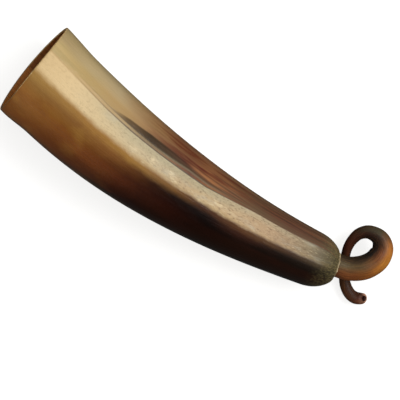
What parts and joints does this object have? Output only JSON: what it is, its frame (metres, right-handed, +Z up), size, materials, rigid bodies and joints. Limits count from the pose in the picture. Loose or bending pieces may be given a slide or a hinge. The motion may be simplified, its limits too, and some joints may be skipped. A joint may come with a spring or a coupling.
{
  "type": "horn trumpet",
  "caption": "Blowing horn (shofar) of polished cow horn: hollow oval bell, solid domed tip, and a thin curled mouthpipe glued into the tip.",
  "frame": {"origin": "middle of the whole box in plan, on the table that the horn lies on", "axes": "+X from the bell towards the curled mouthpipe, +Y towards the side that the curl's loop stands out on, +Z up from the table"},
  "size_m": [0.257, 0.0714, 0.0558],
  "materials": {
    "horn": "polished natural horn, cream to amber to near black, with one duller scraped flat",
    "dark_horn": "satin dark horn, amber on the outside of the curl",
    "cured_glue": "dull cured glue, lumpy"
  },
  "bodies": {
    "root": {"horn_body": "horn", "curled_mouthpipe": "dark_horn", "neck_glue": "cured_glue"}
  },
  "joints": []
}
